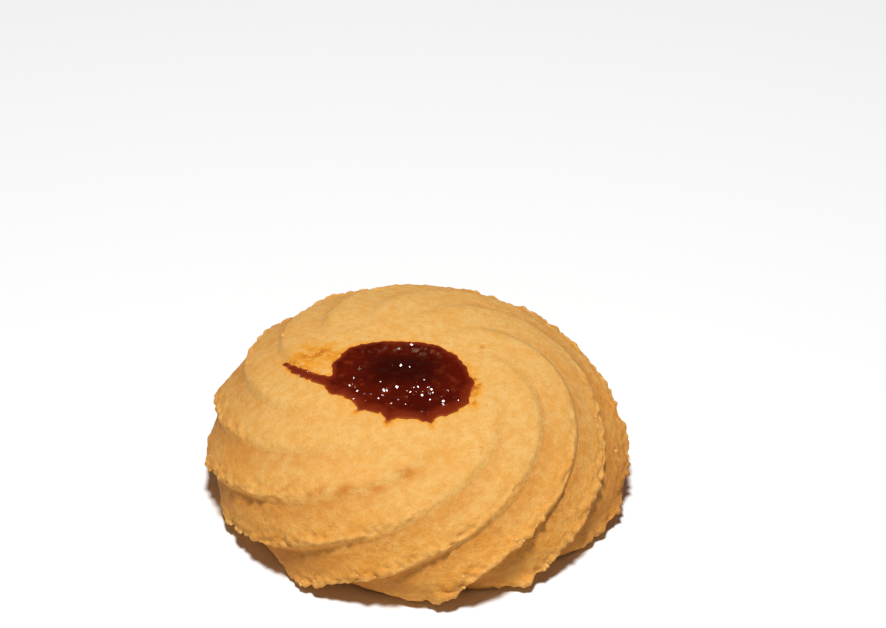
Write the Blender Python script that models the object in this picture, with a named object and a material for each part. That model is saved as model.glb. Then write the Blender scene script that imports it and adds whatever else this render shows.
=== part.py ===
"""Jam-filled swirl biscuit: a star-piped shortbread dome with a pool of jam set in its crown.

Frame: +Z up, metres, origin in the flat underside below the middle of the dome.
Seen from above, the piped ridges leave the crown and sweep clockwise down to the rim.
Two parameters place a point of the piped surface. Climb is 0 in the middle of the crown,
1 at the widest level and more below it. Phase is 0 in the groove below a ridge and 1 in
the groove above it.
"""

import math

import bmesh
import bpy
from mathutils import Vector
from mathutils.bvhtree import BVHTree

# Dome, at the level of the grooves
GROOVE_RADIUS = 0.0266  # middle to a groove at the widest level
WIDEST_HEIGHT = 0.0045  # height of the widest level above the tray
DOME_RISE = 0.0159  # crown above the widest level
FOOT_DROP = 0.0084  # drop below the widest level in a quarter turn of the section
FOOT_TAPER = 0.0010  # how far the grooves draw in on the way down to the tray
SIDE_POWER = 0.667  # less than 1 for sides fuller than an ellipse's
CROWN_POWER = 1.19  # more than 1 for a crown more pointed than an ellipse's
EDGE_CLIMB = 1.36  # climb at the bottom edge of the piped side
FOOT_MIDDLE = (0.0, -0.00055)  # middle of the foot in plan
CROWN_SHIFT = (-0.0006, -0.0015)  # how far the crown stands off the middle of the foot
FULL_SIDE = math.radians(88)  # direction of the fuller side
FULLNESS = 0.0015  # how much fuller it is

# Piped ridges
RIDGE_COUNT = 10
RIDGE_PITCH = math.tau / RIDGE_COUNT
CROWN_HEIGHT = 0.0005  # a ridge's height over its grooves by the jam
SIDE_HEIGHT = 0.00088  # what the sides add to it
CREST_LEAN = 0.0003  # how far a crest leans sideways over the groove below it
CREST_PHASES = (0.38, 0.26, 0.18)  # where the crest stands on the crown, shoulder and side
SLOPE_POWERS = (1.1, 1.7)  # how hollow the broad slope is on the crown and on the side
CREST_BLENDS = (0.26, 0.09)  # rounding of the crest on the crown and on the side
SETTLE_HEIGHT = 0.0026  # the ridges lose their height below this level
FIRST_GROOVE = 1.136  # direction of groove 0 at the middle, in radians
TWIST = (0.782, 4.534, -3.108)  # turn of the swirl as a cubic in climb
SKIRT_TWIST = 0.80  # turn for each unit of climb below the widest level

# The piping was uneven. Turns of each groove in radians, and sizes of each ridge
CROWN_TURNS = (-0.060, -0.045, 0.005, 0.034, 0.013, 0.007, 0.0, 0.010, 0.018, 0.012)
SHOULDER_TURNS = (0.0, 0.06, 0.10, 0.10, 0.08, 0.03, 0.0, 0.0, 0.0, 0.0)
SIDE_TURNS = (-0.14, -0.04, 0.0, -0.09, 0.0, 0.0, 0.0, 0.0, -0.20, -0.22)
FOOT_TURNS = (0.03, -0.10, -0.135, -0.17, -0.05, 0.0, 0.0, -0.05, -0.25, -0.18)
GROWTHS = (1.2, 0.85, 0.7, 0.85, 0.8, 1.1, 1.2, 1.2, 1.1, 0.85)
FOOT_REACHES = (0.0007, 0.0017, 0.0015, 0.0014, 0.0012, 0.0011, 0.0011, 0.0014, 0.0022, 0.0013)

# Jam
POOL_CENTRE = (-0.0019, -0.0054)
POOL_RADIUS = 0.00836
POOL_WAVES = ((1, 0.00028, 0.638), (2, 0.00095, -0.722), (3, 0.00016, 2.278), (4, 0.00016, -2.741))
POOL_SPIKES = ((-133, 0.0005), (-102, 0.0010), (-65, 0.00085), (-27, 0.0007), (-4, 0.0004))
SPIKE_WIDTH = 0.16  # half width of a spike at its root, in radians seen from the pool's middle
SPIKE_POWER = 1.4  # more than 1 for spikes with hollow sides
POOL_LEVEL = 0.01995
POOL_CROWN = 0.00045  # how far the pool bulges above its level
POOL_SHORE = 0.0032  # width of the band in which the jam leaves the crumb for its own level
POOL_DEPTH = 0.0022  # depth of the pool below its top
FILM = 0.00004  # how far the jam's thin edge stands above the crumb
TAIL = (  # the run along a groove: place in plan and half width
    (-0.0070, -0.0070, 0.0016),
    (-0.0096, -0.0064, 0.0020),
    (-0.0120, -0.00485, 0.00085),
    (-0.0129, -0.00425, 0.00062),
    (-0.0143, -0.0031, 0.00066),
    (-0.0157, -0.00165, 0.00044),
    (-0.0171, 0.0004, 0.0002),
)
TAIL_RISE = 0.10  # height over the crumb as a share of the half width
TAIL_DEPTH = 0.45  # depth in the crumb as a share of the half width
CHANNEL_DEPTH = 0.60  # the same share for the channel that the tail lies in
TAIL_DIVE = 0.0005  # how far the tail's root lies under the top of the pool
FIT_GAP = 0.0003  # clearance between the jam and its dent

# Mesh
FACE_STEPS = 4  # columns on the steep face below a crest
SLOPE_STEPS = 8  # columns on the broad slope above it
SIDE_RINGS = 30  # rings from the middle of the crown to the bottom edge
BASE_RINGS = 3  # rings of the flat underside
POOL_STEPS = 72
POOL_RINGS = 12
TAIL_SIDES = 8  # sides of the tail's section


def smooth(low, high, value):
    """0 below low, 1 above high, and an eased rise between them."""
    t = min(1.0, max(0.0, (value - low) / (high - low)))
    return t * t * (3 - 2 * t)


def soft_low(a, b, blend):
    """The lower of two values, with the corner between them rounded."""
    share = min(1.0, max(0.0, 0.5 + 0.5 * (b - a) / blend))
    return b + (a - b) * share - blend * share * (1 - share)


def twist(climb):
    """Clockwise turn of the swirl between the middle and a climb."""
    t = min(climb, 1.0)
    turn = sum(c * t ** (n + 1) for n, c in enumerate(TWIST))
    return turn + SKIRT_TWIST * max(0.0, climb - 1.0)


def groove_section(climb):
    """Radius and height of the dome at the level of the grooves."""
    angle = climb * math.pi / 2
    radius = GROOVE_RADIUS * math.sin(angle) ** SIDE_POWER - FOOT_TAPER * smooth(0.98, 1.3, climb)
    above = DOME_RISE * max(0.0, math.cos(angle)) ** CROWN_POWER
    below = FOOT_DROP * max(0.0, -math.cos(angle))
    return radius, WIDEST_HEIGHT + above - below


def groove_angle(number, climb):
    """Direction of a groove, counter-clockwise from +X seen from above."""
    k = number % RIDGE_COUNT
    shift = CROWN_TURNS[k]
    shift += SHOULDER_TURNS[k] * smooth(0.45, 0.7, climb) * (1 - smooth(0.9, 1.1, climb))
    shift += SIDE_TURNS[k] * smooth(0.6, 1.0, climb)
    shift += FOOT_TURNS[k] * smooth(0.85, 1.2, climb)
    return FIRST_GROOVE - number * RIDGE_PITCH + shift - twist(climb)


def crest_phase(climb):
    """Where the crest stands between its grooves: nearer the lower one down the side."""
    crown, shoulder, side = CREST_PHASES
    phase = crown + (shoulder - crown) * smooth(0.15, 0.5, climb)
    return phase + (side - shoulder) * smooth(0.6, 0.95, climb)


def ridge_section(phase, climb):
    """Section of a ridge: a steep step up from the groove below it, then a long fall to the next."""
    crest = crest_phase(climb)
    rise = 0.5 - 0.5 * math.cos(min(1.0, phase / crest) * math.pi)
    fall = max(0.0, (phase - crest) / (1 - crest))
    power = SLOPE_POWERS[0] + (SLOPE_POWERS[1] - SLOPE_POWERS[0]) * smooth(0.3, 0.9, climb)
    blend = CREST_BLENDS[0] + (CREST_BLENDS[1] - CREST_BLENDS[0]) * smooth(0.15, 0.6, climb)
    return max(0.0, soft_low(rise, (1 - fall) ** power, blend))


def column_place(column, climb):
    """The ridge that a column of the mesh lies on, and its phase at a climb."""
    ridge, step = divmod(column, FACE_STEPS + SLOPE_STEPS)
    crest = crest_phase(climb)
    if step < FACE_STEPS:
        return ridge, crest * step / FACE_STEPS
    return ridge, crest + (1 - crest) * (step - FACE_STEPS) / SLOPE_STEPS


def dome_point(climb, ridge, phase):
    """A point of the piped surface."""
    step = 0.004
    radius, height = groove_section(climb)
    radius_on, height_on = groove_section(climb + step)
    run = math.hypot(radius_on - radius, height_on - height)
    out, down = (radius_on - radius) / run, (height_on - height) / run
    swing = radius * (twist(climb + step) - twist(climb)) / run
    slant = math.hypot(1.0, swing)
    angle = groove_angle(ridge, climb) * (1 - phase) + groove_angle(ridge + 1, climb) * phase

    shape = ridge_section(phase, climb)
    lift = CROWN_HEIGHT * smooth(0.02, 0.35, climb) + SIDE_HEIGHT * smooth(0.55, 1.0, climb)
    lift *= shape * GROWTHS[ridge]
    facing = max(0.0, math.cos(angle - FULL_SIDE))
    lift += FULLNESS * facing * smooth(0.3, 0.8, climb) * (1 - smooth(0.95, 1.25, climb))
    flare = FOOT_REACHES[ridge] * shape * smooth(1.0, 1.22, climb)
    lean = CREST_LEAN * smooth(0.55, 1.05, climb) * (1 - 0.7 * smooth(1.0, 1.3, climb)) * shape ** 2.5
    settled = smooth(0.0, SETTLE_HEIGHT, height)

    angle += lean / slant / max(radius, 0.001)
    height += (lift * out + lean * swing / slant * down) * settled
    radius += flare - lift * down + lean * swing / slant * out
    share = 1 - smooth(0.55, 1.1, climb)
    x = radius * math.cos(angle) + CROWN_SHIFT[0] * share + FOOT_MIDDLE[0]
    y = radius * math.sin(angle) + CROWN_SHIFT[1] * share + FOOT_MIDDLE[1]
    return Vector((x, y, max(0.0, height)))


def side_climbs(count):
    """Climbs from the middle to the bottom edge, spaced closer on the sides than on the crown."""
    fine = [EDGE_CLIMB * (n + 0.01) / 400.01 for n in range(401)]
    places = [Vector(groove_section(climb)) for climb in fine]
    lengths = [0.0]
    for climb, before, after in zip(fine, places, places[1:]):
        crowding = 0.45 + 0.75 * smooth(0.25, 0.8, climb)
        lengths.append(lengths[-1] + (after - before).length * crowding)
    climbs = []
    at = 0
    for n in range(count):
        target = lengths[-1] * n / (count - 1)
        while at < len(lengths) - 2 and lengths[at + 1] < target:
            at += 1
        share = (target - lengths[at]) / (lengths[at + 1] - lengths[at])
        climbs.append(fine[at] + share * (fine[at + 1] - fine[at]))
    return climbs


def make_material(name, colour, roughness):
    material = bpy.data.materials.new(name)
    material.use_nodes = True
    shader = material.node_tree.nodes["Principled BSDF"]
    shader.inputs["Base Color"].default_value = (*colour, 1)
    shader.inputs["Roughness"].default_value = roughness
    shader.inputs["Metallic"].default_value = 0
    material.diffuse_color = (*colour, 1)
    return material


def add_object(name, mesh, collection):
    """An object made of a finished bmesh."""
    data = bpy.data.meshes.new(name)
    mesh.to_mesh(data)
    mesh.free()
    data.shade_smooth()
    data.set_sharp_from_angle(angle=math.radians(50))
    made = bpy.data.objects.new(name, data)
    collection.objects.link(made)
    return made


def make_biscuit(collection):
    """A sphere drawn out into the piped dome, its lowest rings laid flat as the baked underside."""
    columns = RIDGE_COUNT * (FACE_STEPS + SLOPE_STEPS)
    rings = SIDE_RINGS + BASE_RINGS
    climbs = side_climbs(SIDE_RINGS + 1)
    mesh = bmesh.new()
    bmesh.ops.create_uvsphere(mesh, u_segments=columns, v_segments=rings, radius=1)
    for vertex in mesh.verts:
        ring = round(math.acos(max(-1.0, min(1.0, vertex.co.z))) / math.pi * rings)
        around = -math.atan2(vertex.co.y, vertex.co.x) % math.tau
        climb = climbs[min(ring, SIDE_RINGS)]
        ridge, phase = column_place(round(around / math.tau * columns) % columns, climb)
        place = dome_point(climb, ridge, phase)
        if ring >= SIDE_RINGS:
            inward = (rings - ring) / BASE_RINGS
            place = Vector((place.x * inward, place.y * inward, 0.0))
        vertex.co = place
    bmesh.ops.triangulate(mesh, faces=mesh.faces, quad_method="SHORT_EDGE")
    return add_object("biscuit", mesh, collection)


def surface_under(tree, x, y):
    """Height of the biscuit's surface at a place in plan."""
    return tree.ray_cast(Vector((x, y, 0.05)), Vector((0, 0, -1)))[0].z


def pool_edge(direction):
    """Distance from the middle of the pool to its edge, in plan."""
    edge = POOL_RADIUS
    for count, size, phase in POOL_WAVES:
        edge += size * math.cos(count * direction - phase)
    for spike, reach in POOL_SPIKES:
        off = abs((direction - math.radians(spike) + math.pi) % math.tau - math.pi)
        edge += reach * max(0.0, 1 - off / SPIKE_WIDTH) ** SPIKE_POWER
    return edge


def pool_top(ground, inside):
    """Height of the jam at a distance inside its edge: it leaves the crumb and then lies level."""
    level = POOL_LEVEL + POOL_CROWN * smooth(0.0, POOL_RADIUS, inside)
    filled = smooth(0.0, POOL_SHORE, inside)
    return (ground + FILM) * (1 - filled) + level * filled


def pool_direction(x, y):
    """Direction and distance of a place from the middle of the pool, in plan."""
    across, along = x - POOL_CENTRE[0], y - POOL_CENTRE[1]
    return math.atan2(along, across), math.hypot(across, along)


def make_pool(name, tree, grow, collection):
    """A lens of jam whose edge lies on the crumb. A grown one is the cutter for its dent."""
    mesh = bmesh.new()
    bmesh.ops.create_uvsphere(mesh, u_segments=POOL_STEPS, v_segments=POOL_RINGS, radius=1)
    for vertex in mesh.verts:
        direction = math.atan2(vertex.co.y, vertex.co.x)
        out = math.hypot(vertex.co.x, vertex.co.y)
        rise = vertex.co.z
        reach = pool_edge(direction) + grow
        x = POOL_CENTRE[0] + reach * out * math.cos(direction)
        y = POOL_CENTRE[1] + reach * out * math.sin(direction)
        ground = surface_under(tree, x, y)
        top = pool_top(ground, reach * (1 - out))
        if rise < 0:
            height = top + (POOL_DEPTH + grow) * rise
        elif grow:
            height = max(top, ground) + POOL_DEPTH * rise
        else:
            height = top
        vertex.co = (x, y, height)
    return add_object(name, mesh, collection)


def make_tail(name, tree, grow, collection):
    """The jam that ran out along a groove: a tapering tube pressed flat on the crumb."""
    curve = bpy.data.curves.new(name, "CURVE")
    curve.dimensions = "3D"
    curve.bevel_depth = 1.0
    curve.bevel_resolution = (TAIL_SIDES - 4) // 2
    curve.use_fill_caps = True
    line = curve.splines.new("POLY")
    line.points.add(len(TAIL) - 1)
    for point, (x, y, half_width) in zip(line.points, TAIL):
        point.co = (x, y, 0.0, 1)
        point.radius = half_width + grow
    tube = bpy.data.objects.new(name + "_tube", curve)
    collection.objects.link(tube)
    bpy.context.view_layer.update()
    graph = bpy.context.evaluated_depsgraph_get()
    data = bpy.data.meshes.new_from_object(tube.evaluated_get(graph))
    bpy.data.objects.remove(tube)
    mesh = bmesh.new()
    mesh.from_mesh(data)
    bmesh.ops.remove_doubles(mesh, verts=mesh.verts, dist=1e-6)
    rise = 1.0 if grow else TAIL_RISE
    depth = CHANNEL_DEPTH if grow else TAIL_DEPTH
    for vertex in mesh.verts:
        ground = surface_under(tree, vertex.co.x, vertex.co.y)
        direction, distance = pool_direction(vertex.co.x, vertex.co.y)
        inside = max(0.0, pool_edge(direction) - distance)
        level = pool_top(ground, inside) - FILM - TAIL_DIVE * smooth(0.0, POOL_SHORE, inside)
        vertex.co.z = level + vertex.co.z * (rise if vertex.co.z > 0 else depth)
    bmesh.ops.triangulate(mesh, faces=mesh.faces, quad_method="SHORT_EDGE")
    return add_object(name, mesh, collection)


def combine(obj, other, operation):
    modifier = obj.modifiers.new(other.name, "BOOLEAN")
    modifier.operation = operation
    modifier.object = other
    modifier.solver = "EXACT"
    other.hide_render = True
    other.display_type = "WIRE"


def main():
    for obj in list(bpy.data.objects):
        bpy.data.objects.remove(obj)
    parts = bpy.data.collections.new("jam_swirl_biscuit")
    cutters = bpy.data.collections.new("cutters")
    bpy.context.scene.collection.children.link(parts)
    bpy.context.scene.collection.children.link(cutters)

    biscuit = make_biscuit(parts)
    biscuit.data.materials.append(make_material("baked_shortbread", (0.82, 0.43, 0.11), 0.8))
    shape = bmesh.new()
    shape.from_mesh(biscuit.data)
    tree = BVHTree.FromBMesh(shape)
    shape.free()

    jam = make_pool("jam", tree, 0.0, parts)
    jam.data.materials.append(make_material("red_jam", (0.12, 0.010, 0.004), 0.15))
    combine(jam, make_tail("jam_tail", tree, 0.0, cutters), "UNION")
    combine(biscuit, make_pool("dent", tree, FIT_GAP, cutters), "DIFFERENCE")
    combine(biscuit, make_tail("channel", tree, FIT_GAP, cutters), "DIFFERENCE")


main()
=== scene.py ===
import math
import random

import bpy
import numpy as np
from mathutils import Euler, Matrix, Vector, noise
from mathutils.bvhtree import BVHTree


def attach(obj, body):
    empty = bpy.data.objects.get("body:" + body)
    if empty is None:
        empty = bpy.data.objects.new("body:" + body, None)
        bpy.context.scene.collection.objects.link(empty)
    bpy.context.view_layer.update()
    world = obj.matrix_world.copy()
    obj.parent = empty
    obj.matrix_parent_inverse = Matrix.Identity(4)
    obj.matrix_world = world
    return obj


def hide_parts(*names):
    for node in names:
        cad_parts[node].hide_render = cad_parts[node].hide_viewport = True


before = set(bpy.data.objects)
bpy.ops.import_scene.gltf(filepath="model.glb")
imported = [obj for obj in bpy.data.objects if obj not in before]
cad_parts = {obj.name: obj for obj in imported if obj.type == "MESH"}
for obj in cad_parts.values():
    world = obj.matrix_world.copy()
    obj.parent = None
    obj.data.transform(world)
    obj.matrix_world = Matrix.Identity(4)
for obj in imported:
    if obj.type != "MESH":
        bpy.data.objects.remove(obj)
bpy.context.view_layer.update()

mm = 0.001
fullTurn = 2 * math.pi
down = Vector((0, 0, -1))


def ease(low, high, value):  # 0 below low, 1 above high, a soft rise between
    t = np.clip((value - low) / (high - low), 0.0, 1.0)
    return t * t * (3 - 2 * t)


def bell(offset, width, power=2):  # 1 in the middle, falling softly to 0 on both sides
    return np.exp(-((offset / width) ** power))


def softLow(a, b, blend):  # the lower of two, with the corner rounded
    h = np.clip(0.5 + 0.5 * (b - a) / blend, 0.0, 1.0)
    return b + (a - b) * h - blend * h * (1 - h)


def grain(points, size, octaves=1, shift=0.0):  # soft noise, and shift picks another pattern
    made = np.empty(len(points))
    for i, (x, y, z) in enumerate(np.asarray(points) / size):
        at = Vector((x + shift, y, z))
        made[i] = noise.fractal(at, 0.9, 2.1, octaves) if octaves > 1 else noise.noise(at)
    return made


def makePiece(name, points, faces, material):  # points come in millimetres
    data = bpy.data.meshes.new(name)
    data.from_pydata((np.asarray(points) * mm).tolist(), [], faces)
    data.materials.append(material)
    data.shade_smooth()
    piece = bpy.data.objects.new(name, data)
    bpy.context.scene.collection.objects.link(piece)
    return piece


def addLayer(piece, name, values):  # a number at every point, read by the material
    layer = piece.data.attributes.new(name, "FLOAT", "POINT")
    layer.data.foreach_set("value", np.asarray(values, np.float32))


class Wire:  # a node socket that can stand in a sum
    def __init__(self, tree, socket=None):
        self.tree = tree
        self.socket = socket

    def node(self, kind, settings=None, inputs=None, output=0):
        made = self.tree.nodes.new(kind)
        for key, value in (settings or {}).items():
            setattr(made, key, value)
        for key, value in (inputs or {}).items():
            if isinstance(value, Wire):
                self.tree.links.new(value.socket, made.inputs[key])
            else:
                made.inputs[key].default_value = value
        return Wire(self.tree, made.outputs[output])

    def math(self, operation, *values):
        return self.node("ShaderNodeMath", {"operation": operation}, dict(enumerate(values)))

    def __add__(self, other):
        return self.math("ADD", self, other)

    def __radd__(self, other):
        return self.math("ADD", other, self)

    def __rsub__(self, other):
        return self.math("SUBTRACT", other, self)

    def __mul__(self, other):
        return self.math("MULTIPLY", self, other)

    def __rmul__(self, other):
        return self.math("MULTIPLY", other, self)

    def within(self, low, high):  # 0 at low to 1 at high, with soft ends
        smooth = {"interpolation_type": "SMOOTHSTEP"}
        return self.node("ShaderNodeMapRange", smooth, {0: self, 1: low, 2: high})

    def blend(self, share, base, colour):
        inputs = {0: share, 6: base, 7: colour}
        return self.node("ShaderNodeMix", {"data_type": "RGBA"}, inputs, output=2)

    def tint(self, base, colour):  # colour over base, as strong as this value
        return self.blend(self, base, colour)

    def layer(self, name):
        return self.node("ShaderNodeAttribute", {"attribute_name": name}, output="Fac")

    def speckle(self, scale, detail, roughness):  # noise that stays with the piece
        place = self.node("ShaderNodeTexCoord", output="Object")
        inputs = {"Vector": place, "Scale": scale, "Detail": detail, "Roughness": roughness}
        return self.node("ShaderNodeTexNoise", {}, inputs)

    def bump(self, strength, distance):  # this value as small heights, up to a distance
        inputs = {"Strength": strength, "Distance": distance, "Height": self}
        return self.node("ShaderNodeBump", {}, inputs)

    def into(self, shader, name):
        self.tree.links.new(self.socket, shader.inputs[name])


def startMaterial(name, looks):  # the material, its shader with its even values, and its tree
    material = bpy.data.materials.new(name)
    material.use_nodes = True
    shader = material.node_tree.nodes["Principled BSDF"]
    for key, value in looks.items():
        shader.inputs[key].default_value = value
    return material, shader, Wire(material.node_tree)


def rgb(red, green, blue):  # a colour as a screen shows it, 0 to 255
    flat = [c / 255 for c in (red, green, blue)]
    return (*[c / 12.92 if c <= 0.04045 else ((c + 0.055) / 1.055) ** 2.4 for c in flat], 1.0)


# The piped dough. Lengths are in millimetres. Climb is 0 in the middle of the crown, 1 at the
# widest level and more below it. Phase is 0 in the groove below a ridge and 1 in the one above.
biscuit = {
    "grooveRadius": 26.6,  # middle to a groove at the widest level
    "widestLevel": 4.5,
    "domeRise": 15.9,  # the crown above the widest level
    "footDrop": 8.4,  # the drop below it in a quarter turn of the section
    "footTaper": 1.0,  # how far the grooves draw in on the way down
    "sidePower": 0.667,  # less than 1 for full sides
    "crownPower": 1.19,  # more than 1 for a pointed crown
    "bottomEdge": 1.36,  # the climb where the sides meet the underside
    "footMiddle": (0.0, -0.55),
    "crownShift": (-0.6, -1.5),  # the crown sits a little off the middle of the foot
    "fuller": (1.5, 88),  # how much fuller one side is, and its direction in degrees
    "ridges": 10,
    "ridgeHeights": (0.5, 0.88),  # on the crown, and what the sides add
    "crestPhases": (0.38, 0.26, 0.18),  # where a crest stands on the crown, shoulder and side
    "slopePowers": (1.1, 1.7),  # how hollow the broad slope is on the crown and on the side
    "crestBlends": (0.26, 0.09),  # rounding of a crest on the crown and on the side
    "lean": 0.3,  # how far a crest leans over the groove below it
    "settled": 2.6,  # the ridges lose their height below this level
    "firstGroove": 1.136,  # its direction in the middle, in radians
    "twist": (0.782, 4.534, -3.108),
    "skirtTwist": 0.80,
    # the piping was uneven: turns of each groove in radians, then sizes of each ridge
    "crownTurns": (-0.060, -0.045, 0.005, 0.034, 0.013, 0.007, 0.0, 0.010, 0.018, 0.012),
    "shoulderTurns": (0.0, 0.06, 0.10, 0.10, 0.08, 0.03, 0.0, 0.0, 0.0, 0.0),
    "sideTurns": (-0.14, -0.04, 0.0, -0.09, 0.0, 0.0, 0.0, 0.0, -0.20, -0.22),
    "footTurns": (0.03, -0.10, -0.135, -0.17, -0.05, 0.0, 0.0, -0.05, -0.25, -0.18),
    "growths": (1.2, 0.85, 0.7, 0.85, 0.8, 1.1, 1.2, 1.2, 1.1, 0.85),
    "footReaches": (0.7, 1.7, 1.5, 1.4, 1.2, 1.1, 1.1, 1.4, 2.2, 1.3),
    "surges": (7, 0.2),  # a ridge swells and shrinks along its length: how long, how much
    "tear": 0.35,  # height of the torn teeth on the crests
    "teeth": ((4.2, 1.3, 0.5), (2.1, 1.0, 7.5)),  # how far apart, how tall, and a seed
    # roughness of the skin: width of the bumps, then their height
    "swells": (4.5, 0.10),
    "pebbles": (1.5, 0.07),
    "scallops": (1.9, 0.35, 0.65),  # height on the crests, and what low crests add
    "nibbles": (0.8, 0.06, 0.5),  # height on the flanks, and what the crests add
    "columnsPerRidge": 44,
    "rings": 212,
    "baseRings": 7,
    "baseShape": 0.78,  # the underside takes neither the crests' pale tone and painted highlight nor the grooves' painted shade
    "topLevel": 12,  # the jam and its stains stay above this level
    "speckLevel": 5,  # and the specks above this one
    # marks: x, y, half length, half width, how strong
    "stains": ((-13.0, 0.4, 3.7, 2.7, 0.9), (7.7, -6.6, 0.8, 3.0, 0.9)),
    "rimStain": (0.45, 0.5),  # how wide and how strong
    "spikeStain": (0.707, 0.7),
    "specks": (
        (8.7, 1.35, 0.3, 0.3, 1.0),
        (-9.1, -21.65, 1.1, 0.5, 0.85),
        (-4.8, -22.05, 0.8, 0.4, 0.8),
        (-1.1, -20.55, 1.2, 0.5, 0.85),
        (-12.6, -20.95, 1.4, 0.4, 0.6),
        (-16.2, -18.95, 1.5, 0.4, 0.5),
    ),
    "flankShadeAndBrowning": ((-8, 24, 0.75), (-126, 12, 0.35)),  # painted shade on two flanks: direction and spread in degrees, how strong
    "brownedUnder": 0.5,
    # grain of the crumb: scale, detail, roughness
    "mottle": (800, 4, 0.7),
    "patches": (190, 3, 0.5),
    "lumps": (1500, 1, 0.5),
    "pores": (3000, 3, 0.7),
    "grit": (6500, 2, 0.6),
    "relief": (0.9, 0.28),  # how strong and how tall the grain stands
    "crownColours": (rgb(231, 186, 111), rgb(225, 169, 86)),  # the two of the mottled crust
    "flankColours": (rgb(233, 169, 80), rgb(223, 150, 62)),
    "patchColour": rgb(226, 146, 48),
    # painted shade in the grooves, and the deeper painted shade in the low grooves
    "grooveShadeColour": rgb(196, 120, 44),
    "lowGrooveShadeColour": rgb(164, 98, 36),
    # the crests' paler tone, partly a painted highlight
    "crestToneAndHighlightColour": rgb(242, 192, 112),
    "poreColour": rgb(206, 136, 56),
    "gritColour": rgb(220, 142, 44),
    # painted shade on two flanks, and the browned underside
    "flankShadeAndBrowningColour": rgb(186, 116, 46),
    "stainColours": (rgb(228, 152, 44), rgb(186, 100, 26)),  # thin and thick
    "speckColours": (rgb(194, 110, 26), rgb(128, 68, 24)),  # edge and core
}

jam = {
    "centre": (-1.9, -5.4),
    "radius": 8.36,
    "waves": ((1, 0.28, 0.638), (2, 0.95, -0.722), (3, 0.16, 2.278), (4, 0.16, -2.741)),
    "level": 19.95,
    "crown": 0.45,  # how far the middle bulges
    "shore": 3.2,  # width of the band in which the jam leaves the crumb for its own level
    "film": (0.03, 0.06),  # thickness at the very edge, and what it gains inwards
    "spikes": ((-133, 0.5), (-102, 1.0), (-65, 0.85), (-27, 0.7), (-4, 0.4)),  # degrees, how far
    "spikeWidth": 0.16,
    "spikePower": 1.4,
    "fray": ((1.3, 0.16, 5.0), (0.5, 0.09, 9.0)),  # size and depth of the edge's wobbles, seed
    "tail": (  # the run along a groove, from the pool to the tip: x, y, half width
        (-9.6, -6.4, 2.0),
        (-12.0, -4.85, 0.85),
        (-12.9, -4.25, 0.62),
        (-14.3, -3.1, 0.66),
        (-15.7, -1.65, 0.44),
        (-17.1, 0.4, 0.2),
    ),
    "tailBlend": 0.5,
    "field": ((-18.5, 9.0), (-16.0, 5.0)),  # the plan that holds all the jam, in x and in y
    "step": 0.08,
    "lumps": (0.15, 0.05),  # height of the broad and of the small ones
    "grains": (  # where small flat grains stand: middle x and y, spread x and y, how many
        (-0.2, -8.4, 2.9, 1.7, 60),
        (-7.7, -6.4, 0.8, 1.5, 13),
        (-3.0, -5.0, 4.5, 3.5, 22),
        (-13.9, -3.4, 0.7, 0.3, 3),
    ),
    "grainSizes": (0.12, 0.38),  # half across
    "grainSlope": (0.01, 0.65, 0.05),  # the slope they share, sideways and forward, and its spread
    "thickness": (0.12, 1.3),  # at the edge, and what the middle adds
    "dent": (0.15, 1.6),  # how far the dough lies under the jam's top, the same way
    "creaseAngle": 70,  # the wall's edges stay sharp, in degrees
    "shadeBehind": (-9.5, -2.5, 1.5),  # painted shade: from and to in y, and how much darker the jam is painted towards the back
    "tailEnds": (-12.0, -10.0),  # where the tail passes into the pool, in x
    "darkReflectionPart": (-1.6, -3.4, 5.0, 3.4),  # painted dark reflection, the darkest part: x, y, half length, half width
    "hazeAndSheen": (0.9, 1.6, 0.75),  # dull wisps with a painted sheen: size of its wisps, how far in from the edge, and half width
    "hazeAndSheenSide": ((-4.0, 3.0), (-1.5, 1.0)),  # it comes in to the right and to the back
    "pulp": (700, 4, 0.6),  # scale, detail, roughness
    "clumps": (260, 2, 0.5),
    "relief": (0.6, 0.1),
    "thinColour": rgb(122, 40, 16),
    "thickColour": rgb(84, 15, 2),
    "edgeColour": rgb(170, 88, 36),
    "pulpColour": rgb(122, 42, 12),
    "darkReflectionColour": rgb(38, 3, 1),
    "clumpColour": rgb(58, 6, 1),
    # painted sheen on the dull wisps
    "sheenColour": rgb(146, 114, 86),
}


def twistAt(climb):
    t = np.minimum(climb, 1.0)
    turned = sum(c * t ** (n + 1) for n, c in enumerate(biscuit["twist"]))
    return turned + biscuit["skirtTwist"] * np.maximum(0.0, climb - 1.0)


def section(climb):  # radius and height of the grooves' level
    angle = climb * math.pi / 2
    radius = biscuit["grooveRadius"] * np.sin(angle) ** biscuit["sidePower"]
    radius = radius - biscuit["footTaper"] * ease(0.98, 1.3, climb)
    above = biscuit["domeRise"] * np.maximum(0.0, np.cos(angle)) ** biscuit["crownPower"]
    below = biscuit["footDrop"] * np.maximum(0.0, -np.cos(angle))
    return radius, biscuit["widestLevel"] + above - below


def levelMiddle(climb):
    share = 1 - ease(0.55, 1.1, climb)
    parts = zip(biscuit["footMiddle"], biscuit["crownShift"])
    return [foot + crown * share for foot, crown in parts]


def grooveAngle(number, climb):
    k = number % biscuit["ridges"]
    turn = biscuit["crownTurns"][k] + biscuit["sideTurns"][k] * ease(0.6, 1.0, climb)
    turn += biscuit["footTurns"][k] * ease(0.85, 1.2, climb)
    onShoulder = ease(0.45, 0.7, climb) * (1 - ease(0.9, 1.1, climb))
    turn += biscuit["shoulderTurns"][k] * onShoulder
    even = biscuit["firstGroove"] - number * fullTurn / biscuit["ridges"]
    return even + turn - twistAt(climb)


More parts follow.
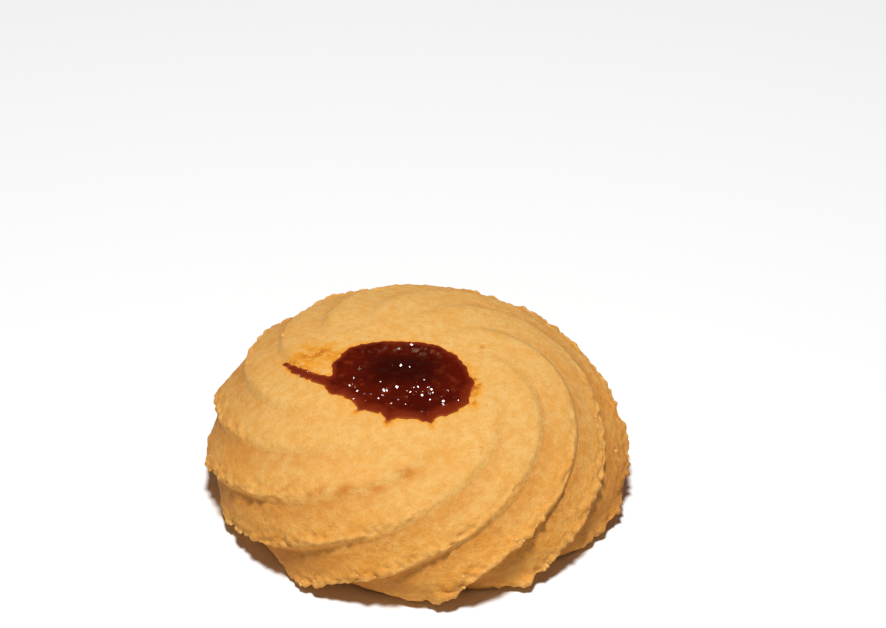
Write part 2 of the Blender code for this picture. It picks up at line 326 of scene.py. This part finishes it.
def ringClimbs(count):  # climbs of the rings, closer on the sides, and the section's length to each
    fine = np.linspace(1e-4, biscuit["bottomEdge"], 4000)
    radius, height = section(fine)
    steps = np.hypot(np.diff(radius), np.diff(height))
    run = np.concatenate(([0.0], np.cumsum(steps)))
    crowding = 0.45 + 0.75 * ease(0.25, 0.8, fine[1:])
    crowded = np.concatenate(([0.0], np.cumsum(steps * crowding)))
    climbs = np.interp(np.linspace(0.0, crowded[-1], count), crowded, fine)
    return climbs, np.interp(climbs, fine, run)


def ridgeShape(phase, climb):  # 0 in the grooves to 1 on the crest
    crown, shoulder, side = biscuit["crestPhases"]
    crest = crown + (shoulder - crown) * ease(0.15, 0.5, climb)
    crest += (side - shoulder) * ease(0.6, 0.95, climb)
    rise = 0.5 - 0.5 * np.cos(np.clip(phase / crest, 0, 1) * math.pi)
    fall = np.clip((phase - crest) / (1 - crest), 0, 1)
    full, hollow = biscuit["slopePowers"]
    slope = (1 - fall) ** (full + (hollow - full) * ease(0.3, 0.9, climb))
    wide, narrow = biscuit["crestBlends"]
    blend = wide + (narrow - wide) * ease(0.15, 0.6, climb)
    return np.maximum(0.0, softLow(rise, slope, blend))


def tearing(ridge, along):  # ragged teeth on a crest, from about -0.7 to 0.9
    total = 0.0
    for pitch, size, seed in biscuit["teeth"]:
        n = noise.noise(Vector((along / pitch, 17.3 * ridge, seed)))
        total += size * math.copysign(abs(n) ** 1.1, n)
    return total


def surging(ridge, along):
    length, share = biscuit["surges"]
    return 1 + share * noise.noise(Vector((along / length, 5.1 * ridge, 3)))


def ringCourse(climb):  # how the skin runs on from a climb: outward, upward and sideways
    step = 0.004
    radius, height = section(climb)
    nextRadius, nextHeight = section(climb + step)
    run = math.hypot(nextRadius - radius, nextHeight - height)
    swing = radius * (twistAt(climb + step) - twistAt(climb)) / run
    return (nextRadius - radius) / run, (nextHeight - height) / run, swing


def doughRing(climb, along, phase, ridge):  # one ring of points, with the ridge shape at each
    radius, height = section(climb)
    out, fall, swing = ringCourse(climb)
    slant = math.hypot(1.0, swing)
    ridges = range(biscuit["ridges"])
    shape = ridgeShape(phase, climb)
    angle = np.array([grooveAngle(k, climb) for k in (*ridges, len(ridges))])
    direction = angle[ridge] * (1 - phase) + angle[ridge + 1] * phase

    # the dough swells away from the grooves' level
    fuller, toward = biscuit["fuller"]
    facing = np.maximum(0.0, np.cos(direction - math.radians(toward)))
    lift = fuller * facing * ease(0.3, 0.8, climb) * (1 - ease(0.95, 1.25, climb))
    onCrown, onSides = biscuit["ridgeHeights"]
    depth = onCrown * ease(0.02, 0.35, climb) + onSides * ease(0.55, 1.0, climb)
    surge = np.array([surging(k, along) for k in ridges])[ridge]
    lift += depth * shape * surge * np.array(biscuit["growths"])[ridge]
    ragged = np.array([tearing(k, along) for k in ridges])[ridge]
    tear = biscuit["tear"] * ease(0.35, 0.95, climb) * ragged * shape ** 5

    # the crests lean over, and flare where they meet the tray
    leaning = ease(0.55, 1.05, climb) * (1 - 0.7 * ease(1.0, 1.3, climb))
    lean = biscuit["lean"] * leaning * shape ** 2.5 + 0.4 * tear
    flare = np.array(biscuit["footReaches"])[ridge] * shape * ease(1.0, 1.22, climb)
    reach = radius + flare - (lift + tear) * fall + lean * swing / slant * out
    raised = (lift + tear) * out + lean * swing / slant * fall
    z = np.maximum(height + raised * ease(0.0, biscuit["settled"], height), 0.0)
    direction += lean / slant / max(radius, 1)
    middleX, middleY = levelMiddle(climb)
    x, y = reach * np.cos(direction) + middleX, reach * np.sin(direction) + middleY
    return np.stack((x, y, z), axis=1), shape


def doughPoints():  # the skin ring by ring, with the ridge shape and the climb at every point
    perRidge, ridges = biscuit["columnsPerRidge"], biscuit["ridges"]
    climbs, lengths = ringClimbs(biscuit["rings"])
    even = np.arange(perRidge) / perRidge
    phase = np.tile(0.55 * even + 0.45 * even ** 2, ridges)  # closer columns on the steep face
    ridge = np.repeat(np.arange(ridges), perRidge)
    rings, facts = [], []
    along = 0.0  # distance from the middle, along a ridge
    for n, climb in enumerate(climbs):
        if n:
            _, _, swing = ringCourse(climb)
            along += (lengths[n] - lengths[n - 1]) * math.hypot(1.0, swing)
        ring, shape = doughRing(climb, along, phase, ridge)
        rings.append(ring)
        facts.append(np.stack((shape, np.full(len(phase), climb)), axis=1))
    foot = rings[-1] * (1, 1, 0)
    rings[-1] = foot
    plain = facts[-1].copy()
    plain[:, 0] = biscuit["baseShape"]
    for n in range(1, biscuit["baseRings"]):
        rings.append(foot * (1 - n / biscuit["baseRings"]))
        facts.append(plain)
    return np.concatenate(rings), np.concatenate(facts)


def doughFaces():
    columns = biscuit["columnsPerRidge"] * biscuit["ridges"]
    ringCount = biscuit["rings"] + biscuit["baseRings"] - 1
    faces = []
    for ring in range(ringCount - 1):
        for column in range(columns):
            a = ring * columns + column
            b = ring * columns + (column + 1) % columns
            faces.append((b, b + columns, a + columns, a))
    faces.append(tuple(range(columns - 1, -1, -1)))
    faces.append(tuple(range((ringCount - 1) * columns, ringCount * columns)))
    return faces


def poolEdge(direction):  # middle of the pool to its edge
    edge = np.full(np.shape(direction), jam["radius"])
    for count, size, phase in jam["waves"]:
        edge = edge + size * np.cos(count * direction - phase)
    for spike, reach in jam["spikes"]:
        off = np.abs((direction - math.radians(spike) + math.pi) % fullTurn - math.pi)
        narrowing = np.maximum(0, 1 - off / jam["spikeWidth"])
        edge = edge + reach * narrowing ** jam["spikePower"]
    return edge


def wobble(x, y, size, seed):  # a cheap soft noise over the plan, from about -1 to 1
    u, v = x / size, y / size
    first = np.sin(1.7 * u + 1.1 * v + seed + 1.3 * np.sin(1.9 * v - 0.7 * u + 2 * seed))
    second = np.sin(2.3 * v - 1.3 * u + 3 * seed + 1.5 * np.sin(1.4 * u + 0.6 * v + seed))
    return 0.5 * first + 0.5 * second


def jamReach(x, y):  # distance inside the jam's edge, less than 0 outside it
    dx, dy = x - jam["centre"][0], y - jam["centre"][1]
    frayed = sum(deep * wobble(x, y, size, seed) for size, deep, seed in jam["fray"])
    pool = poolEdge(np.arctan2(dy, dx)) - np.hypot(dx, dy) + frayed
    tail = np.full(np.shape(x), -99.0)
    for (ax, ay, wide), (bx, by, narrow) in zip(jam["tail"], jam["tail"][1:]):
        runX, runY = bx - ax, by - ay
        share = ((x - ax) * runX + (y - ay) * runY) / (runX ** 2 + runY ** 2)
        share = np.clip(share, 0, 1)
        away = np.hypot(x - ax - share * runX, y - ay - share * runY)
        tail = np.maximum(tail, wide + (narrow - wide) * share - away)
    return -softLow(-pool, -(tail + frayed), jam["tailBlend"])


def jamTop(ground, inside, lumps=0.0):  # the pool lies level, sunk behind and proud in front
    level = jam["level"] + jam["crown"] * ease(0, 8, inside) + lumps
    edge, inwards = jam["film"]
    film = edge + inwards * ease(0, 0.8, inside)
    filled = ease(0.0, jam["shore"], inside)
    return (ground + film) * (1 - filled) + level * filled


print("stage: dough")
skinPoints, skinFacts = doughPoints()
skinShape, skinClimb = skinFacts.T
skinFaces = doughFaces()
skinTree = BVHTree.FromPolygons(skinPoints.tolist(), skinFaces[: -1])


def skinHeight(x, y):
    return skinTree.ray_cast(Vector((x, y, 60)), down)[0].z


def crumbMaterial(name, extraColour=None, extraShare=0.0):
    looks = {"Roughness": 0.85, "Specular IOR Level": 0.25}
    material, shader, tree = startMaterial(name, looks)
    shape, climb = tree.layer("crest"), tree.layer("climb")
    stain, speck, flankShadeAndBrowning = tree.layer("stain"), tree.layer("speck"), tree.layer("flankShadeAndBrowning")
    mottle, patches = tree.speckle(*biscuit["mottle"]), tree.speckle(*biscuit["patches"])
    lumps, pores = tree.speckle(*biscuit["lumps"]), tree.speckle(*biscuit["pores"])
    grit = tree.speckle(*biscuit["grit"])
    side, low = climb.within(0.3, 0.95), climb.within(0.85, 1.1)

    # the mottled crust, browner down the sides
    crown = mottle.within(0.35, 0.65).tint(*biscuit["crownColours"])
    flank = mottle.within(0.38, 0.62).tint(*biscuit["flankColours"])
    colour = (side * 0.9).tint(crown, flank)
    patchy = patches.within(0.45, 0.7) * (0.2 + 0.4 * side)
    colour = patchy.tint(colour, biscuit["patchColour"])

    # painted shade in the grooves, deeper low on the sides, and pale crests that are partly a
    # painted highlight
    grooveShade = (1 - shape).within(0.6, 1.0) * climb.within(0.2, 0.6)
    grooveShade = grooveShade * (0.25 + 0.3 * mottle.within(0.3, 0.7))
    colour = grooveShade.tint(colour, biscuit["grooveShadeColour"])
    # painted shade, darker in the deep grooves low on the sides
    lowGrooveShade = (1 - shape).within(0.25, 0.9) * low * 0.7
    colour = lowGrooveShade.tint(colour, biscuit["lowGrooveShadeColour"])
    # pale crests: partly the crumb's paler tone, partly a painted highlight on the edges
    crest = shape.within(0.8, 1.0) * side * pores.within(0.35, 0.6) * 0.6
    colour = crest.tint(colour, biscuit["crestToneAndHighlightColour"])

    # the crumb's own grain
    porous = pores.within(0.5, 0.75) * (0.45 + 0.15 * side)
    colour = porous.tint(colour, biscuit["poreColour"])
    colour = (grit.within(0.4, 0.65) * 0.35).tint(colour, biscuit["gritColour"])

    # painted shade on two flanks, the browned underside, and stained marks
    colour = flankShadeAndBrowning.tint(colour, biscuit["flankShadeAndBrowningColour"])
    thin, thick = biscuit["stainColours"]
    seeping = stain * (0.35 + 0.65 * mottle.within(0.38, 0.58))
    colour = seeping.within(0.0, 0.6).tint(colour, thin)
    colour = seeping.within(0.45, 1.0).tint(colour, thick)
    edge, core = biscuit["speckColours"]
    colour = (speck * (0.5 + 0.5 * mottle.within(0.35, 0.6))).tint(colour, edge)
    colour = speck.within(0.87, 1.0).tint(colour, core)
    if extraColour:
        colour = tree.blend(extraShare, colour, extraColour)
    colour.into(shader, "Base Color")

    height = mottle * 0.25 + lumps * (0.1 + 0.35 * side)
    height = height + pores * (0.4 + 0.15 * side) + grit * 0.2
    strength, tall = biscuit["relief"]
    height.bump(strength, tall * mm).into(shader, "Normal")
    return material


def jamMaterial():
    looks = {"IOR": 1.46, "Specular IOR Level": 0.3}
    material, shader, tree = startMaterial("redJam", looks)
    depth, hazeAndSheen, darkReflection = tree.layer("depth"), tree.layer("hazeAndSheen"), tree.layer("darkReflection")
    pulp, clumps = tree.speckle(*jam["pulp"]), tree.speckle(*jam["clumps"])
    # thin to thick, with painted shade that darkens it towards the back
    colour = depth.within(0.0, 2.2).tint(jam["thinColour"], jam["thickColour"])
    colour = ((1 - depth.within(0.0, 0.35)) * 0.6).tint(colour, jam["edgeColour"])
    colour = (pulp.within(0.5, 0.7) * 0.8).tint(colour, jam["pulpColour"])
    # painted dark reflection in the middle
    colour = (darkReflection * 0.85).tint(colour, jam["darkReflectionColour"])
    clumped = (1 - clumps).within(0.42, 0.7) * depth.within(0.5, 2.0) * 0.6
    colour = clumped.tint(colour, jam["clumpColour"])
    # pale wisps: a painted sheen, and real dullness in the roughness
    colour = (hazeAndSheen * 0.75).tint(colour, jam["sheenColour"])
    colour.into(shader, "Base Color")
    (0.12 + 0.08 * pulp.within(0.35, 0.7) + 0.6 * hazeAndSheen).into(shader, "Roughness")
    strength, tall = jam["relief"]
    pulp.bump(strength, tall * mm).into(shader, "Normal")
    return material


def skinNormals(points):
    columns = biscuit["columnsPerRidge"] * biscuit["ridges"]
    grid = points.reshape(-1, columns, 3)
    downhill = np.gradient(grid, axis=0)
    around = np.roll(grid, -1, axis=1) - np.roll(grid, 1, axis=1)
    normals = np.cross(downhill, around)
    normals /= np.maximum(1e-9, np.linalg.norm(normals, axis=2))[:, :, None]
    return normals.reshape(-1, 3)


def roughness(points):  # how far each point of the skin stands out or in
    side = ease(0.2, 0.9, skinClimb)
    low = ease(0.85, 1.1, skinClimb)
    onCrest = skinShape ** 3 * ease(0.3, 0.85, skinClimb)
    wide, height = biscuit["swells"]
    rough = height * grain(points, wide, 3)
    wide, height = biscuit["pebbles"]
    rough += height * grain(points, wide, 1, 40) * (0.4 + 0.6 * side)
    wide, height, more = biscuit["scallops"]
    rough += onCrest * (height + more * low) * grain(points, wide, 1, 160)
    wide, height, more = biscuit["nibbles"]
    rough += (height * side + more * onCrest) * grain(points, wide, 1, 200)
    return rough * ease(0.0, 0.8, points[:, 2])  # none where the dough stood on the tray


def stainLayer(x, y, reach):  # where the jam soaked into the crumb
    wide, strength = biscuit["rimStain"]
    stain = strength * bell(np.minimum(reach, 0), wide)
    for spotX, spotY, length, width, strength in biscuit["stains"]:
        stain += strength * bell(x - spotX, length) * bell(y - spotY, width)
    wide, strength = biscuit["spikeStain"]
    for spike, _ in jam["spikes"]:
        direction = math.radians(spike)
        tip = poolEdge(direction) + 0.2
        dx = x - jam["centre"][0] - tip * math.cos(direction)
        dy = y - jam["centre"][1] - tip * math.sin(direction)
        stain += strength * bell(np.hypot(dx, dy), wide)
    return stain


def speckLayer(x, y):
    speck = np.zeros(len(x))
    for spotX, spotY, length, width, strength in biscuit["specks"]:
        speck = np.maximum(speck, strength * bell(x - spotX, length) * bell(y - spotY, width))
    return speck


def flankShadeAndUndersideLayer(points):  # painted shade on two flanks, and where the oven browned the underside
    flankShadeAndBrowning = np.zeros(len(points))
    for toward, spread, strength in biscuit["flankShadeAndBrowning"]:
        heading = np.degrees(np.arctan2(points[:, 1], points[:, 0]))
        off = (heading - toward + 180) % 360 - 180
        flankShadeAndBrowning += strength * bell(off, spread) * ease(0.75, 1.0, skinClimb)
    sidePoints = biscuit["rings"] * biscuit["columnsPerRidge"] * biscuit["ridges"]
    mottled = 1 + grain(points[sidePoints:], 5.0, 3, 300)
    flankShadeAndBrowning[sidePoints:] = biscuit["brownedUnder"] * mottled
    return flankShadeAndBrowning


def makeBiscuit():
    points = skinPoints.copy()
    onTop = points[:, 2] > biscuit["topLevel"]
    reach = np.where(onTop, jamReach(points[:, 0], points[:, 1]), -9.0)
    points += roughness(points)[:, None] * skinNormals(points)
    points[:, 2] = np.maximum(points[:, 2], 0.0)
    edge, deep = jam["dent"]
    dent = jamTop(points[:, 2], np.maximum(reach, 0)) - edge - deep * ease(0.1, 3.0, reach)
    pressed = np.minimum(points[:, 2] - 0.05, dent)
    points[:, 2] = np.where(reach > 0.1, pressed, points[:, 2])
    piece = makePiece("biscuitSkin", points, skinFaces, crumbMaterial("bakedCrumb"))
    x, y = points[:, 0], points[:, 1]
    addLayer(piece, "crest", skinShape)
    addLayer(piece, "climb", skinClimb)
    addLayer(piece, "stain", np.clip(stainLayer(x, y, reach) * onTop, 0, 1))
    addLayer(piece, "speck", speckLayer(x, y) * (points[:, 2] > biscuit["speckLevel"]))
    addLayer(piece, "flankShadeAndBrowning", flankShadeAndUndersideLayer(points))
    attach(piece, "root")
    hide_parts("biscuit")
    return points


crumbs = {
    "clusters": 45,
    "inCluster": (2, 9),
    "spread": 0.5,
    "sizes": (0.12, 0.32),  # smallest and biggest, half across
    "stretch": (0.75, 1.3),
    "corners": (0.85, 1.15),  # how unevenly the corners stand out
    "sunk": 0.35,  # how deep a crumb sits in the crust, as a share of its size
    "lowest": 0.6,  # none below this level
    "colour": rgb(240, 192, 116),
    "colourShare": 0.4,
}

# a crumb is a ball of twenty triangles, squashed and turned
golden = (1 + math.sqrt(5)) / 2
ballCorners = [Vector(corner).normalized() for corner in (
    (-1, golden, 0), (1, golden, 0), (-1, -golden, 0), (1, -golden, 0),
    (0, -1, golden), (0, 1, golden), (0, -1, -golden), (0, 1, -golden),
    (golden, 0, -1), (golden, 0, 1), (-golden, 0, -1), (-golden, 0, 1),
)]
ballFaces = (
    (0, 11, 5), (0, 5, 1), (0, 1, 7), (0, 7, 10), (0, 10, 11),
    (1, 5, 9), (5, 11, 4), (11, 10, 2), (10, 7, 6), (7, 1, 8),
    (3, 9, 4), (3, 4, 2), (3, 2, 6), (3, 6, 8), (3, 8, 9),
    (4, 9, 5), (2, 4, 11), (6, 2, 10), (8, 6, 7), (9, 8, 1),
)


def makeCrumbs(skin):  # bits of dough that came loose, most of them low on the crests
    dice = random.Random(5)
    sidePoints = biscuit["rings"] * biscuit["columnsPerRidge"] * biscuit["ridges"]
    surface = BVHTree.FromPolygons(skin.tolist(), skinFaces)
    small, big = crumbs["sizes"]
    points, faces = [], []
    clusters = 0
    while clusters < crumbs["clusters"]:
        spot = dice.randrange(sidePoints)
        climb = skinClimb[spot]
        chance = 0.25 * ease(0.45, 0.8, climb) + 0.75 * ease(0.85, 1.05, climb)
        if climb > 1.25 or dice.random() > skinShape[spot] ** 6 * chance + 0.01:
            continue
        clusters += 1
        for _ in range(dice.randint(*crumbs["inCluster"])):
            size = small + (big - small) * dice.random() ** 3
            astray = Vector([dice.gauss(0, crumbs["spread"]) for _ in range(3)])
            middle, normal, _, _ = surface.find_nearest(Vector(skin[spot]) + astray)
            middle -= normal * crumbs["sunk"] * size
            if middle.z < crumbs["lowest"]:
                continue
            stretch = [dice.uniform(*crumbs["stretch"]) for _ in range(3)]
            turn = Euler([dice.uniform(0, fullTurn) for _ in range(3)])
            start = len(points)
            for corner in ballCorners:
                at = Vector(c * s * size for c, s in zip(corner, stretch))
                at *= dice.uniform(*crumbs["corners"])
                at.rotate(turn)
                points.append(middle + at)
            faces.extend(tuple(start + n for n in face) for face in ballFaces)
    material = crumbMaterial("looseCrumb", crumbs["colour"], crumbs["colourShare"])
    piece = makePiece("looseCrumbs", points, faces, material)
    piece.data.shade_flat()
    addLayer(piece, "crest", np.ones(len(points)))
    addLayer(piece, "climb", np.full(len(points), 0.4))
    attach(piece, "root")


def addGrains(x, y, height):  # small flat grains that stand aslant in the jam
    dice = random.Random(11)
    small, big = jam["grainSizes"]
    sideways, forward, spread = jam["grainSlope"]
    for middleX, middleY, spreadX, spreadY, count in jam["grains"]:
        for _ in range(count):
            dx = x - dice.gauss(middleX, spreadX)
            dy = y - dice.gauss(middleY, spreadY)
            size = small + (big - small) * dice.random() ** 2
            slopeX, slopeY = dice.gauss(sideways, spread), dice.gauss(forward, spread)
            away = np.hypot(dx, dy)
            near = away < size
            if not near.any():
                continue
            share = 1 - ease(0.6, 1.0, away / size)
            face = height[near].mean() + slopeX * dx + slopeY * dy
            height = height * (1 - share) + face * share
    return height


def jamPlan():  # a grid of squares cut to the jam's outline, with its edge pulled onto the outline
    step = jam["step"]
    gx, gy = np.meshgrid(*(np.arange(start, end, step) for start, end in jam["field"]))
    reach = jamReach(gx, gy)
    middle = (reach[:-1, :-1] + reach[1:, :-1] + reach[:-1, 1:] + reach[1:, 1:]) / 4
    keep = middle > 0
    used = np.zeros(reach.shape, int)  # how many kept squares meet at each point
    firsts, lasts = slice(0, -1), slice(1, None)
    for rows in (firsts, lasts):
        for columns in (firsts, lasts):
            used[rows, columns] += keep
    onEdge = (used > 0) & (used < 4)
    tiny = 0.01
    slopeX = (jamReach(gx + tiny, gy) - jamReach(gx - tiny, gy)) / (2 * tiny)
    slopeY = (jamReach(gx, gy + tiny) - jamReach(gx, gy - tiny)) / (2 * tiny)
    steep = np.maximum(0.2, slopeX ** 2 + slopeY ** 2)
    move = np.clip(reach / steep, -step, step) * onEdge
    gx, gy = gx - move * slopeX, gy - move * slopeY
    reach = np.where(onEdge, 0.0, np.maximum(reach, 0.0))
    number = -np.ones(reach.shape, int)
    number[used > 0] = np.arange((used > 0).sum())
    return gx[used > 0], gy[used > 0], reach[used > 0], number, keep


def jamFaces(number, keep, count):  # top, bottom, and a wall along every open side of a square
    faces = []
    squares = list(zip(*np.nonzero(keep)))
    for r, c in squares:
        a, b = number[r, c], number[r, c + 1]
        d, e = number[r + 1, c], number[r + 1, c + 1]
        faces.append((a, b, e, d))
        faces.append((a + count, d + count, e + count, b + count))
    rows, columns = keep.shape
    for r, c in squares:
        sides = (
            ((r, c), (r, c + 1), r == 0 or not keep[r - 1, c]),
            ((r, c + 1), (r + 1, c + 1), c == columns - 1 or not keep[r, c + 1]),
            ((r + 1, c + 1), (r + 1, c), r == rows - 1 or not keep[r + 1, c]),
            ((r + 1, c), (r, c), c == 0 or not keep[r, c - 1]),
        )
        for start, end, isOpen in sides:
            if isOpen:
                a, b = number[start], number[end]
                faces.append((a, a + count, b + count, b))
    return faces


def makeJam():
    x, y, inside, number, keep = jamPlan()
    count = len(x)
    ground = np.array([skinHeight(a, b) for a, b in zip(x, y)])
    flat = np.stack((x, y, np.zeros(count)), axis=1)
    broad, fine = jam["lumps"]
    lumps = broad * grain(flat, 2.0, 2) + fine * grain(flat, 0.7, 1, 30)
    top = jamTop(ground, inside, lumps * ease(0.1, 0.9, inside))
    top = addGrains(x, y, top)
    edge, deep = jam["thickness"]
    bottom = top - edge - deep * ease(0.1, 3.0, inside)
    points = np.concatenate((np.stack((x, y, top), axis=1), np.stack((x, y, bottom), axis=1)))
    piece = makePiece("jamPool", points, jamFaces(number, keep, count), jamMaterial())
    piece.data.set_sharp_from_angle(angle=math.radians(jam["creaseAngle"]))

    # painted shade darkens the jam towards the back, a painted dark reflection lies in the middle,
    # and dull wisps with a painted sheen run along its back
    front, back, darker = jam["shadeBehind"]
    depth = inside * (1 + darker * ease(front, back, y) * ease(*jam["tailEnds"], x))
    wisps, far, band = jam["hazeAndSheen"]
    rightward, backward = jam["hazeAndSheenSide"]
    hazeAndSheen = ease(0.0, 0.5, grain(flat, wisps, 3, 77)) * bell(inside - far, band)
    hazeAndSheen *= ease(*backward, y) * (0.2 + 0.8 * ease(*rightward, x))
    darkX, darkY, length, width = jam["darkReflectionPart"]
    darkReflection = bell(x - darkX, length, 4) * bell(y - darkY, width, 4) * ease(0.6, 1.8, inside)
    for name, values in (("depth", depth), ("hazeAndSheen", hazeAndSheen), ("darkReflection", darkReflection)):
        addLayer(piece, name, np.tile(values, 2))
    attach(piece, "root")
    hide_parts("jam")


skin = makeBiscuit()
print("stage: crumbs")
makeCrumbs(skin)
print("stage: jam")
makeJam()

studio = {
    "floorHalf": 3.0,
    "floorDrop": 0.00005,  # just under the biscuit
    "floorColour": (0.92, 0.92, 0.92, 1),
    "lampPlace": (-0.01, -0.165, 0.64),
    "lampAim": (0, 0, 0.01),
    "lampSize": 0.11,
    "lampPower": 4.87,
    "fill": 0.05,
    "cameraAngle": 38.35,  # degrees above the floor
    "cameraDistance": 0.658,
    "cameraShift": (0.00414, 0.0186),  # to the right and up
    "lens": 203.2,
}


def makeFloor():
    looks = {
        "Base Color": studio["floorColour"],
        "Roughness": 0.9,
        "Specular IOR Level": 0.1,
    }
    half = studio["floorHalf"]
    corners = [(-half, -half, 0), (half, -half, 0), (half, half, 0), (-half, half, 0)]
    data = bpy.data.meshes.new("floor")
    data.from_pydata(corners, [], [(0, 1, 2, 3)])
    data.materials.append(startMaterial("paleFloor", looks)[0])
    floor = bpy.data.objects.new("floor", data)
    bpy.context.scene.collection.objects.link(floor)
    floor.location.z = -studio["floorDrop"]


def makeLight():
    data = bpy.data.lights.new("keyLamp", "AREA")
    data.shape = "DISK"
    data.size = studio["lampSize"]
    data.energy = studio["lampPower"]
    lamp = bpy.data.objects.new("keyLamp", data)
    bpy.context.scene.collection.objects.link(lamp)
    lamp.location = studio["lampPlace"]
    lamp.rotation_mode = "QUATERNION"
    beam = Vector(studio["lampAim"]) - Vector(studio["lampPlace"])
    lamp.rotation_quaternion = beam.to_track_quat("-Z", "Y")
    world = bpy.data.worlds.new("studio")
    world.use_nodes = True
    background = world.node_tree.nodes["Background"]
    background.inputs["Color"].default_value = (1, 1, 1, 1)
    background.inputs["Strength"].default_value = studio["fill"]
    bpy.context.scene.world = world


def makeCamera():
    angle = math.radians(studio["cameraAngle"])
    data = bpy.data.cameras.new("camera")
    data.sensor_width = 36
    data.lens = studio["lens"]
    data.clip_start = 0.01
    data.clip_end = 10
    camera = bpy.data.objects.new("camera", data)
    bpy.context.scene.collection.objects.link(camera)
    forward = Vector((0, math.cos(angle), -math.sin(angle)))
    upward = Vector((0, math.sin(angle), math.cos(angle)))
    aim = Vector((*levelMiddle(0), biscuit["widestLevel"])) * mm
    right, up = studio["cameraShift"]
    camera.location = aim - studio["cameraDistance"] * forward + Vector((right, 0, 0)) + up * upward
    camera.rotation_euler = (math.pi / 2 - angle, 0, 0)
    bpy.context.scene.camera = camera


print("stage: studio")
makeFloor()
makeLight()
makeCamera()
bpy.context.scene.view_settings.view_transform = "Standard"
